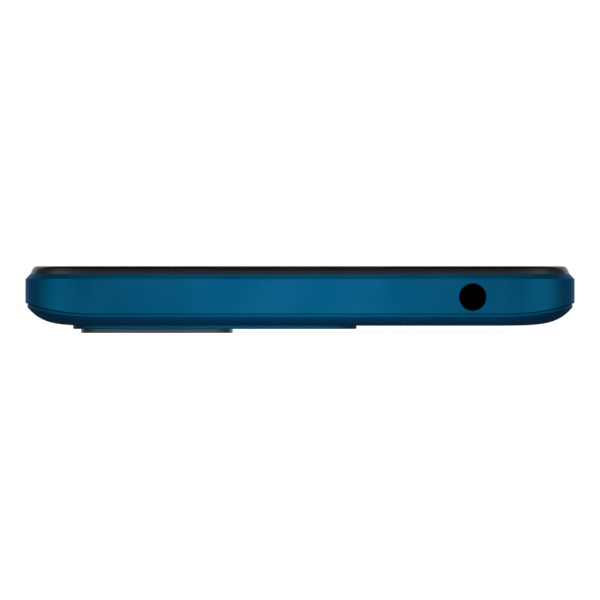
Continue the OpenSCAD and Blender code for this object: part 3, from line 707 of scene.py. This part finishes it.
def make_cover():
    """Back cover with its swept edge, upright lip and inner skin."""
    skin = [COVER_STEP + COVER_SWEEP * (1 - k / SKIN_RINGS) ** RING_CROWDING
            for k in range(SKIN_RINGS + 1)]
    lining = [LIP_IN[1] + (COVER_STEP + COVER_SWEEP - LIP_IN[1])
              * (k / LINING_RINGS) ** RING_CROWDING for k in range(LINING_RINGS + 1)]
    levels = [(d, lambda x, d=d: skin_at(x, d)) for d in skin]
    for d, drop in ((0.0, 0.07), (0.012, 0.03), (0.04, 0.008), (0.08, 0.0)):
        levels.append((COVER_STEP + d, lambda x, drop=drop: seam_at(x) - SEAM_LINE - drop))
    levels.append((LIP_IN[0], lambda x: seam_at(x) - SEAM_LINE))
    levels += [(d, lambda x: seam_at(x) + LIP_H) for d in LIP_IN]
    levels += [(d, lambda x, d=d: skin_at(x, d) + COVER_T) for d in lining]
    rings = []
    for d, height in levels:
        ring = outline(SIDE_X - d, END_Y - d, CORNER_R - 0.75 * d)
        rings.append([(x, y, height(x)) for x, y in ring])
    cover = loft("back_shell", rings, False)
    surround_low, surround_high = corners("camera_surround")
    centre = (surround_low + surround_high) / 2
    size = surround_high - surround_low
    jack = middle("headphone_jack")
    tools = [plate("pocket", (size.x + 0.1, size.y + 0.1), SURROUND_R + 0.05,
                   [(0, 0), (0, COVER_FLOOR_Z)], centre.xy),
             bar("jack", "y", (-END_Y + 1.55, -END_Y + 4), jack.x, jack.z,
                 (JACK_SLEEVE_D, JACK_SLEEVE_D), 2.4)]
    for node, r in HOLES_IN_COVER:
        tools.append(lathe("hole", middle(node), [(r, 1), (r, 3)], False))
    return cut(cover, *tools)


def make_surround():
    """Raised blue field round the camera plate and the fingerprint sensor."""
    low, high = corners("camera_surround")
    centre, size = (low + high) / 2, high - low
    profile = round_profile([(0, low.z, SURROUND_EDGE), (0, high.z, 0), (5, high.z, 0),
                             (5, low.z, 0)])[:-2]
    body = plate("surround", size.xy, SURROUND_R, profile, centre.xy)
    bed_low, bed_high = corners("camera_plate")
    bed, spread = (bed_low + bed_high) / 2, bed_high - bed_low
    tools = [plate("bed", (spread.x + 0.1, spread.y + 0.1), PLATE_R + 0.05,
                   [(0, -1), (0, bed_high.z)], bed.xy)]
    for node, r in HOLES_IN_SURROUND:
        tools.append(lathe("hole", middle(node), [(r, -1), (r, 2)], False))
    finger = middle("fingerprint_ring")
    mouth = [(FINGER_R + 0.2, low.z - 1), (FINGER_R + 0.2, low.z), (FINGER_R + 0.05, low.z + 0.15),
             (FINGER_R + 0.05, 3)]
    tools.append(lathe("hole", finger, mouth, False))
    return cut(body, *tools)


def make_plate():
    """Polished dark plate with round edges and three openings."""
    low, high = corners("camera_plate")
    centre, size = (low + high) / 2, high - low
    profile = round_profile([(0, low.z, PLATE_EDGE), (0, high.z, 0), (3, high.z, 0),
                             (3, low.z, 0)])[:-2]
    body = plate("camera_bar", size.xy, PLATE_R, profile, centre.xy)
    tools = []
    for node in ("main_lens_ring", "second_lens_ring", "flash_lens"):
        node_low, node_high = corners(node)
        r = (node_high.x - node_low.x) / 2 + 0.05
        mouth = [(r + 0.06, -1), (r + 0.06, 0), (r, 0.06), (r, 2)]
        tools.append(lathe("hole", middle(node), mouth, False))
    return cut(body, *tools)


def make_lens_ring(node):
    """Turned ring with a bright chamfer, a groove and a step for the window."""
    low, high = corners(node)
    r = (high.x - low.x) / 2
    return lathe(node + "_piece", middle(node), round_profile([
        (r, high.z, 0), (r, low.z, 0.1), (r - 0.36, low.z, 0.02), (r - 0.4, low.z + 0.06, 0.02),
        (r - 0.5, low.z + 0.06, 0.02), (r - 0.54, low.z, 0.02), (r - 0.66, low.z, 0.02),
        (r - 0.93, low.z + 0.16, 0.02), (r - 0.95, 0.7, 0), (r - 1.45, 0.7, 0),
        (r - 1.45, high.z, 0)]))


def make_window(node):
    """Lens window with a fine bevel."""
    low, high = corners(node)
    r = (high.x - low.x) / 2
    return lathe(node + "_piece", middle(node), [
        (0.01, low.z + 0.02), (r - 0.12, low.z + 0.02), (r, low.z + 0.12), (r, high.z),
        (0.01, high.z)], False)


def make_mask(node):
    """Black mask printed on the inside of a lens window."""
    high = corners(node)[1]
    return lathe(node.replace("glass", "mask"), middle(node), round_profile([
        (MASK_R[0], high.z + 0.01, 0), (MASK_R[0] + 0.06, high.z + 0.05, 0),
        (MASK_R[1], high.z + 0.05, 0), (MASK_R[1], high.z + 0.01, 0)]))


def dome(name, at, r, rim_z, rise, depth, way=-1):
    """Lens element that bulges downwards from its rim, or upwards where way is 1."""
    front = [(r * math.cos(math.radians(6 * k)),
              rim_z + way * rise * math.sin(math.radians(6 * k))) for k in range(15)]
    return lathe(name, at, [(0.01, rim_z - way * depth), (r, rim_z - way * depth)] + front
                 + [(0.01, rim_z + way * rise)], False)


def make_barrel():
    """Focus barrel with stepped baffles round its first lens element."""
    low, high = corners("focus_barrel")
    r = (high.x - low.x) / 2
    steps = [(0.01, high.z), (r, high.z), (r, low.z + 0.05), (r - 0.05, low.z)]
    for k in range(5):
        steps += [(r - 0.22 - 0.24 * k, low.z + 0.14 * k),
                  (r - 0.26 - 0.24 * k, low.z + 0.14 * (k + 1))]
    return lathe("barrel", middle("focus_barrel"), steps + [(0.01, low.z + 0.7)], False)


def make_flash():
    """Flash window moulded with fine rings."""
    low, high = corners("flash_lens")
    r = (high.x - low.x) / 2
    face = [(r, low.z + 0.1), (r - 0.06, low.z + 0.02)]
    for k in range(9):
        face += [(r - 0.2 - 0.18 * k, low.z + 0.01), (r - 0.26 - 0.18 * k, low.z + 0.07)]
    body = [(0.01, high.z), (1.35, high.z), (1.35, 1.103), (r, 1.103)]
    return lathe("flash_window", middle("flash_lens"), body + face + [(0.01, low.z + 0.05)],
                 False)


def make_finger_ring():
    """Bright chamfered ring that leads a finger to the sensor."""
    low, high = corners("fingerprint_ring")
    r = (high.x - low.x) / 2
    return lathe("sensor_ring", middle("fingerprint_ring"), round_profile([
        (r, high.z, 0), (r, low.z, 0.04), (r - 0.14, low.z, 0.03), (r - 0.56, low.z + 0.2, 0.03),
        (r - 0.6, high.z, 0)]))


def make_finger_pad():
    """Slightly dished sensor face on its block."""
    low, high = corners("fingerprint_sensor")
    r = (high.x - low.x) / 2
    dish = [(r * (1 - k / 8), low.z + 0.05 * (1 - (1 - k / 8) ** 2)) for k in range(8)]
    return lathe("sensor_pad", middle("fingerprint_sensor"),
                 [(0.01, high.z), (5, high.z), (5, 1.5), (r, 1.5)] + dish
                 + [(0.01, low.z + 0.05)], False)


def edge_inset(u):
    """Distance the glass edge stands back at a share u of the glass thickness."""
    return 0.33 * u + 0.08 * u * u + 0.25 * u ** 8


def make_glass():
    """Cover glass with a curved edge, the earpiece recess and the camera opening."""
    steps = [0, 0.1, 0.2, 0.32, 0.45, 0.55, 0.64, 0.72, 0.79, 0.85, 0.9, 0.94, 0.97, 0.99, 1.0]
    thick = SCREEN_Z - GLASS_Z
    profile = [(edge_inset(u), GLASS_Z + thick * u) for u in steps]
    profile += [(profile[-1][0] + 0.25, SCREEN_Z)]
    size = GLASS_HIGH - GLASS_LOW
    glass = plate("front_glass", size.xy, CORNER_R - (SIDE_X - GLASS_HIGH.x), profile)
    mesh_high = corners("earpiece_mesh")[1]
    camera = middle("front_camera")
    return cut(glass,
               block("recess", (-EARPIECE_W / 2, -END_Y - 1, GLASS_Z - 1),
                     (EARPIECE_W / 2, mesh_high.y + 0.05, SCREEN_Z + 1)),
               lathe("hole", camera, [(WINDOW_R, 8), (WINDOW_R, 10)], False))


def make_bezel():
    """Black line under the glass, with the bar that fills the earpiece recess."""
    line = plate("bezel", (2 * (SIDE_X - 0.7), 2 * (END_Y - 0.7)), CORNER_R - 0.7, [
        (0, LAND_Z), (0.08, LAND_Z + 0.2), (GLASS_STEP - 0.7, GLASS_Z), (1.9, GLASS_Z),
        (1.9, LAND_Z)], closed=True)
    half, front = EARPIECE_W / 2 - 0.05, -END_Y + GLASS_STEP
    thick = SCREEN_Z - GLASS_Z
    curve = [(front, GLASS_Z - 0.1)]
    curve += [(front + edge_inset(0.1 * k), GLASS_Z + 0.1 * k * thick) for k in range(8)]
    curve += [(front + 0.37, SCREEN_Z - 0.13), (front + 0.5, SCREEN_Z - 0.1),
              (-END_Y + 1.7, SCREEN_Z - 0.1), (-END_Y + 1.7, GLASS_Z - 0.1)]
    raised = loft("raised", [[(x, y, z) for y, z in curve] for x in (-half, half)], False)
    vent = block("vent", (-5, -END_Y + 1.7, LAND_Z - 1), (5, -END_Y + 2.2, GLASS_Z + 1))
    return cut(add(line, raised), vent)


def make_key(node):
    """Key cap with rounded edges, its flange and the studs that reach the switches."""
    low, high = corners(node)
    key, length = middle(node), key_length(node)
    volume = node == "volume_key"
    back = -SIDE_X + WALL_T + (0.38 if volume else 0.05)
    cap = bar(node + "_cap", "x", (back + 0.1, low.x), key.y, KEY_Z, (length, KEY_H), 1.0,
              edge=0.22)
    parts = [bar("flange", "x", (back + FLANGE_T, back), key.y, KEY_Z,
                 (length + FLANGE_EXTRA, FLANGE_H), 1.0)]
    for off in ((-8, 8) if volume else (0,)):
        parts.append(bar("stud", "x", (STUD_X, back + 0.3), key.y + off, KEY_Z, (2, 1.4), 0.4))
    if volume:
        parts.append(bar("rib", "x", (high.x, back + 0.3), key.y, KEY_Z, (0.7, 1.4), 0.3))
    return add(cap, *parts)


def make_tray():
    """Tray head with its pin hole, and the carrier with three card pockets."""
    low, high = corners("sim_tray")
    centre = (low + high) / 2
    rod = middle("eject_rod")
    head = bar("tray_head", "x", (SIDE_X - WALL_T + 0.05, high.x), centre.y, centre.z,
               (HEAD_W, HEAD_H), 1.0, edge=0.12)
    cut(head, bar("hole", "x", (SIDE_X - 4, SIDE_X + 1), rod.y, centre.z, (1.0, 1.0), 0.48,
                  flare=0.08))
    y0, y1 = CARRIER_Y
    z0, z1 = CARRIER_Z
    carrier = plate("card_carrier", (SIDE_X - WALL_T + 0.2 - low.x, y1 - y0), 0.5,
                    [(0.06, z0), (0, z0 + 0.06), (0, z1 - 0.06), (0.06, z1)],
                    ((low.x + SIDE_X - WALL_T + 0.2) / 2, (y0 + y1) / 2), steps=6)
    tools = []
    for start, wide, long in POCKETS:
        at = (low.x + start + wide / 2, (y0 + y1) / 2)
        tools.append(plate("pocket", (wide, long), 0.6, [(0, z0 + 0.25), (0, z1 - 0.08),
                                                         (-0.08, z1), (-0.08, z1 + 1)],
                           at, steps=6))
        tools.append(plate("window", (wide - 1.6, long - 1.6), 1.0, [(0, z0 - 1), (0, z1)],
                           at, steps=6))
    return head, cut(carrier, *tools)


def make_socket():
    """Charging socket's shell with a rolled mouth."""
    low, high = corners("usb_shell")
    centre = (low + high) / 2
    size = high - low
    shell = bar("socket_shell", "y", (low.y, high.y), centre.x, centre.z, (size.x, size.z), 1.5,
                edge=0.1)
    return cut(shell, bar("inside", "y", (low.y + 0.9, high.y + 0.92), centre.x, centre.z,
                          (size.x - 2 * USB_WALL, size.z - 2 * USB_WALL), 1.2, flare=0.08))


def make_tongue():
    """Tongue of the charging socket with its root and a round front edge."""
    low, high = corners("usb_tongue")
    centre = (low + high) / 2
    tongue = bar("socket_tongue", "y", (low.y, high.y), centre.x, centre.z, (6.7, 0.7), 0.2,
                 edge=0.12)
    return add(tongue, bar("root", "y", (low.y, low.y + 1.1), centre.x, centre.z,
                           (7.6, 1.8), 0.3, edge=0.1))


def make_contacts():
    """Row of gold contacts on each face of the tongue."""
    low, high = corners("usb_tongue")
    centre = (low + high) / 2
    strips = []
    for side in (-1, 1):
        z = centre.z + side * 0.35
        for k in range(CONTACT_COUNT):
            x = centre.x + (k - (CONTACT_COUNT - 1) / 2) * CONTACT_PITCH
            strips.append(block("contact", (x - CONTACT_W / 2, low.y + 1.3, z - 0.03),
                                (x + CONTACT_W / 2, high.y - 0.5 - 0.35 * (k % 3 == 0),
                                 z + 0.03)))
    first = strips[0]
    first.name = "socket_contacts"
    return add(first, *strips[1:])


def make_front_window():
    """Small clear window over the front camera, flush with the glass."""
    camera = middle("front_camera")
    r = WINDOW_R - 0.02
    return lathe("front_window", camera, [(0.01, GLASS_Z + 0.05), (r, GLASS_Z + 0.05),
                                          (r, SCREEN_Z), (0.01, SCREEN_Z)], False)


# ---------- outer and moving pieces ----------

frame_band = cut(make_frame(), *frame_tools())
finish_piece(frame_band, BLUE, "handset", "frame_resin", "mid_frame")
finish_piece(make_cover(), RIBBED, "handset", "cover_resin", "back_cover", sharp=28)
finish_piece(make_surround(), SURROUND, "handset", "surround_resin", "camera_surround")
finish_piece(make_plate(), PLATE_DARK, "handset", "plate_dark", "camera_plate")
finish_piece(make_lens_ring("main_lens_ring"), MAIN_RING, "handset", "lens_metal",
             "main_lens_ring", sharp=20)
finish_piece(make_lens_ring("second_lens_ring"), SECOND_RING, "handset", "lens_metal",
             "second_lens_ring", sharp=20)
finish_piece(make_window("main_lens_glass"), CLEAR, "handset", "lens_glass",
             "main_lens_glass")
finish_piece(make_window("second_lens_glass"), CLEAR, "handset", "lens_glass",
             "second_lens_glass")
finish_piece(make_mask("main_lens_glass"), BLACK, "handset", "black_resin")
finish_piece(make_mask("second_lens_glass"), BLACK, "handset", "black_resin")
finish_piece(make_barrel(), MATT_BLACK, "focus_barrel", "black_resin", "focus_barrel")
finish_piece(dome("main_element", middle("focus_barrel"), 1.7, 2.0, 0.35, 0.02), MAIN_COAT,
             "focus_barrel", "lens_glass", sharp=60)
finish_piece(dome("second_element", middle("second_camera"), 1.45, 1.75, 0.3, 0.04),
             SECOND_COAT, "handset", "lens_glass", sharp=60)
finish_piece(make_flash(), FLASH_WHITE, "handset", "flash_diffuser", "flash_lens", sharp=20)
finish_piece(make_finger_ring(), FINGER_RING, "handset", "lens_metal", "fingerprint_ring")
finish_piece(make_finger_pad(), SENSOR_BLUE, "handset", "sensor_resin", "fingerprint_sensor")
finish_piece(make_glass(), GLASS_BLACK, "handset", "screen_glass", "cover_glass", sharp=40)
finish_piece(make_bezel(), GLOSS_BLACK, "handset", "black_resin", "bezel_rim")
finish_piece(make_front_window(), CLEAR, "handset", "screen_glass")
front_rim = corners("front_camera")[1].z + 0.01
finish_piece(dome("front_element", middle("front_camera"), 0.85, front_rim, 0.1, 0.1, way=1),
             FRONT_COAT, "handset", "lens_glass", sharp=60)
for key_node in ("power_key", "volume_key"):
    finish_piece(make_key(key_node), BLUE, key_node, "frame_resin", key_node)
tray_head, card_carrier = make_tray()
finish_piece(tray_head, BLUE, "card_tray", "frame_resin", "sim_tray")
finish_piece(card_carrier, STEEL_X, "card_tray", "steel", "sim_tray")
finish_piece(make_socket(), STEEL_Y, "handset", "steel", "usb_shell")
finish_piece(make_tongue(), BLACK, "handset", "black_resin", "usb_tongue")
finish_piece(make_contacts(), GOLD, "handset", "contact_gold")


# ---------- pieces that keep their CAD shape ----------

def dress(material, soft, *nodes):
    """Gives CAD nodes a material and, where soft isn't 0, slightly broken edges."""
    for name in nodes:
        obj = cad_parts[name]
        obj.data.materials.clear()
        obj.data.materials.append(material)
        if soft:
            modifier = obj.modifiers.new("broken edges", "BEVEL")
            modifier.width = soft * MM
            modifier.segments = 2
            modifier.angle_limit = math.radians(40)
            modifier.use_clamp_overlap = True


dress(DEEP_BLACK, 0, "headphone_jack")
dress(BLACK, 0.05, "earpiece_receiver", "front_camera", "main_camera", "second_camera",
      "speaker_box", "antenna_cable")
dress(MATT_BLACK, 0.06, "top_bracket", "bottom_bracket")
dress(MESH_METAL, 0, "earpiece_mesh", "speaker_mesh")
dress(PANEL, 0.03, "lcd_panel")
dress(FILM, 0.05, "backlight", "battery_adhesive")
dress(STEEL_X, 0.04, "card_connector", "front_shield", "rear_shield")
dress(STEEL_Y, 0.03, "eject_rod", "eject_lever", "top_screws", "bottom_screws", "motor_case",
      "bottom_microphone")
dress(ALLOY, 0.04, "mid_plate")
dress(GOLD, 0.02, "flash_led", "jack_contacts", "motor_rotor")
dress(BOARD, 0.04, "main_board", "sub_board")
dress(CHIP, 0.06, "processor_chip", "storage_chip")
dress(FLEX_ALONG, 0.02, "display_flex", "battery_flex", "main_flex")
dress(FLEX_KEYS, 0.02, "key_flex")
dress(POUCH, 0.35, "battery")
dress(GRAPHITE, 0, "graphite_sheet")
dress(RUBBER, 0.1, "tray_gasket")


# ---------- light, floor and camera ----------

def make_camera():
    """Long lens level with the middle of the handset's thickness, square to its top edge."""
    data = bpy.data.cameras.new("camera")
    data.sensor_width = 36.0
    data.lens = data.sensor_width * VIEW_DISTANCE / VIEW_WIDTH
    data.clip_end = 20.0
    camera = bpy.data.objects.new("camera", data)
    bpy.context.scene.collection.objects.link(camera)
    camera.location = Vector((0.0, -END_Y - VIEW_DISTANCE, VIEW_Z)) * MM
    camera.rotation_euler = (math.radians(90), 0, 0)
    bpy.context.scene.camera = camera


def make_world():
    """Soft studio surroundings: bright all round at eye level, dimmer above and below."""
    world = bpy.data.worlds.new("studio")
    world.use_nodes = True
    bpy.context.scene.world = world
    tree = world.node_tree
    back = tree.nodes["Background"]

    def node(kind, **settings):
        made = tree.nodes.new(kind)
        for key, value in settings.items():
            setattr(made, key, value)
        return made

    def ramp(source, stops):
        made = node("ShaderNodeValToRGB")
        first, last = made.color_ramp.elements
        first.position, first.color = stops[0][0], (stops[0][1],) * 3 + (1,)
        last.position, last.color = stops[-1][0], (stops[-1][1],) * 3 + (1,)
        for place, bright in stops[1:-1]:
            made.color_ramp.elements.new(place).color = (bright,) * 3 + (1,)
        tree.links.new(source, made.inputs[0])
        return made.outputs[0]

    def maths(operation, first, second):
        made = node("ShaderNodeMath", operation=operation)
        for socket, value in zip(made.inputs, (first, second)):
            if hasattr(value, "is_output"):
                tree.links.new(value, socket)
            else:
                socket.default_value = value
        return made.outputs[0]

    split = node("ShaderNodeSeparateXYZ")
    tree.links.new(node("ShaderNodeTexCoord").outputs["Generated"], split.inputs[0])
    x, y, z = split.outputs
    round_angle = maths("DIVIDE", maths("ARCTAN2", maths("ABSOLUTE", x, 0.0),
                                        maths("MULTIPLY", y, -1.0)), math.pi)
    lift = maths("ADD", maths("DIVIDE", maths("ARCSINE", z, 0.0), math.pi), 0.5)
    low = ramp(round_angle, [(d / 180, v) for d, v in WORLD_LOW])
    high = ramp(round_angle, [(d / 180, v) for d, v in WORLD_HIGH])
    height = ramp(lift, [(0.5 + d / 180, v) for d, v in WORLD_HEIGHT])
    around = node("ShaderNodeMix", data_type="FLOAT")
    tree.links.new(ramp(lift, [(0.5 + d / 180, v) for d, v in WORLD_SHARE]), around.inputs[0])
    tree.links.new(low, around.inputs[2])
    tree.links.new(high, around.inputs[3])
    seen = node("ShaderNodeMix", data_type="RGBA")
    tree.links.new(node("ShaderNodeLightPath").outputs["Is Camera Ray"], seen.inputs[0])
    both = maths("MULTIPLY", around.outputs[0], height)
    tree.links.new(both, seen.inputs[6])
    seen.inputs[7].default_value = (1.0, 1.0, 1.0, 1.0)
    tree.links.new(seen.outputs[2], back.inputs["Color"])


def make_floor():
    """Wide pale floor just under the handset, lit evenly so that it stays plain."""
    rings = [[(r * math.cos(2 * math.pi * i / ROUND_STEPS),
               r * math.sin(2 * math.pi * i / ROUND_STEPS), FLOOR_Z) for i in range(ROUND_STEPS)]
             for r in FLOOR_R]
    floor = loft("floor", rings, False)
    g = Graph("pale floor")
    g.set(Base_Color=g.blend(g.noise(40.0), (0.34, 0.34, 0.34), (0.36, 0.36, 0.36)),
          Roughness=1.0, Specular_IOR_Level=0.0, Emission_Color=(1.0, 1.0, 1.0, 1.0),
          Emission_Strength=FLOOR_GLOW)
    floor.data.materials.append(g.material)
    floor.visible_diffuse = False
    floor.visible_glossy = False
    floor.visible_transmission = False
    floor.visible_shadow = False


def make_lamp(name, place, target, size, power):
    """Soft area lamp that lights the object and isn't seen or mirrored."""
    data = bpy.data.lights.new(name, "AREA")
    data.shape = "RECTANGLE"
    data.size, data.size_y = size[0] * MM, size[1] * MM
    data.energy = power
    lamp = bpy.data.objects.new(name, data)
    bpy.context.scene.collection.objects.link(lamp)
    lamp.location = Vector(place) * MM
    lamp.rotation_euler = (Vector(target) - Vector(place)).to_track_quat("-Z", "Y").to_euler()
    lamp.visible_camera = False
    lamp.visible_glossy = False


VIEW_WIDTH = 83.3
VIEW_DISTANCE = 2400.0
VIEW_Z = 4.6
FLOOR_Z = -0.01
FLOOR_R = (1.0, 900.0, 9000.0)
FLOOR_GLOW = 0.93
LAMP_GAP = 60.0
# Brightness at angles from the viewer's side, in degrees, for light from near eye level (LOW)
# and from elsewhere (HIGH); SHARE mixes the two by height above the horizon and HEIGHT dims both
WORLD_LOW = ((0, 0.48), (22, 0.3), (42, 0.9), (60, 1.7), (78, 1.4), (100, 0.45),
             (116, 0.2), (136, 0.2), (148, 0.6), (160, 0.6), (172, 0.45), (180, 0.4))
WORLD_HIGH = ((0, 0.85), (42, 0.95), (84, 0.95), (106, 0.3), (118, 0.08), (160, 0.08),
              (180, 0.08))
WORLD_SHARE = ((-90, 1.0), (-7, 1.0), (0, 0.0), (28, 0.0), (46, 1.0), (90, 1.0))
WORLD_HEIGHT = ((-90, 0.1), (-50, 0.16), (-30, 0.36), (-12, 0.75), (0, 0.9), (28, 0.95),
                (40, 0.8), (50, 0.48), (57, 0.24), (67, 0.11), (90, 0.08))

make_world()
make_floor()
make_lamp("near lamp", (0, -END_Y - 50, 4), (0, -END_Y, 5), (30, 12), 0.047)
make_lamp("far lamp", (0, END_Y + LAMP_GAP, 25), (0, END_Y, 5), (70, 20), 0.06)
for way in (-1, 1):
    make_lamp("side lamp", (way * (SIDE_X + LAMP_GAP), 30, 25), (way * SIDE_X, 30, 5),
              (150, 20), 0.1)
make_camera()

bpy.context.scene.view_settings.view_transform = "Standard"
